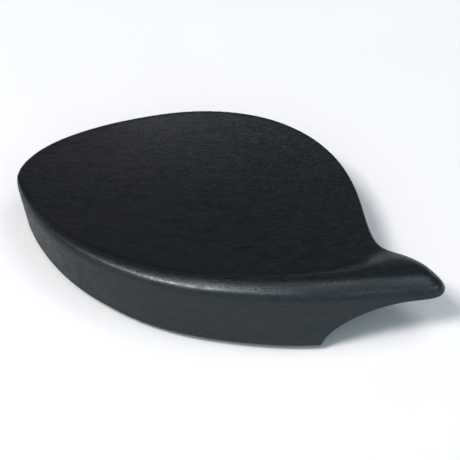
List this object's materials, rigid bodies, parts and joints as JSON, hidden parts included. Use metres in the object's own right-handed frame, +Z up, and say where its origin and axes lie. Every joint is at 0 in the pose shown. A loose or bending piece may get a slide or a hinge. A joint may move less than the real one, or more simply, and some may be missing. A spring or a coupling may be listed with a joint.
{
  "type": "violin chin rest plate",
  "caption": "Carved ebony chin rest plate for a violin: leaf-shaped bowl, rounded roll, tapered arm with an arch under it, and cork pads under its foot.",
  "frame": {"origin": "centre of the bounding box in X and Y, on the plane of the cork pads' lower faces", "axes": "+X along the length, from the leaf tip to the end of the arm; +Y from the front wall, where the clamp goes, to the far rim; +Z up"},
  "size_m": [0.115, 0.0754, 0.0227],
  "materials": {
    "ebony": "oiled and hand-polished, satin",
    "cork": "raw pressed cork, matte"
  },
  "bodies": {
    "root": {"plate": "ebony", "cork_pad_left": "cork", "cork_pad_middle": "cork", "cork_pad_right": "cork"}
  },
  "joints": []
}
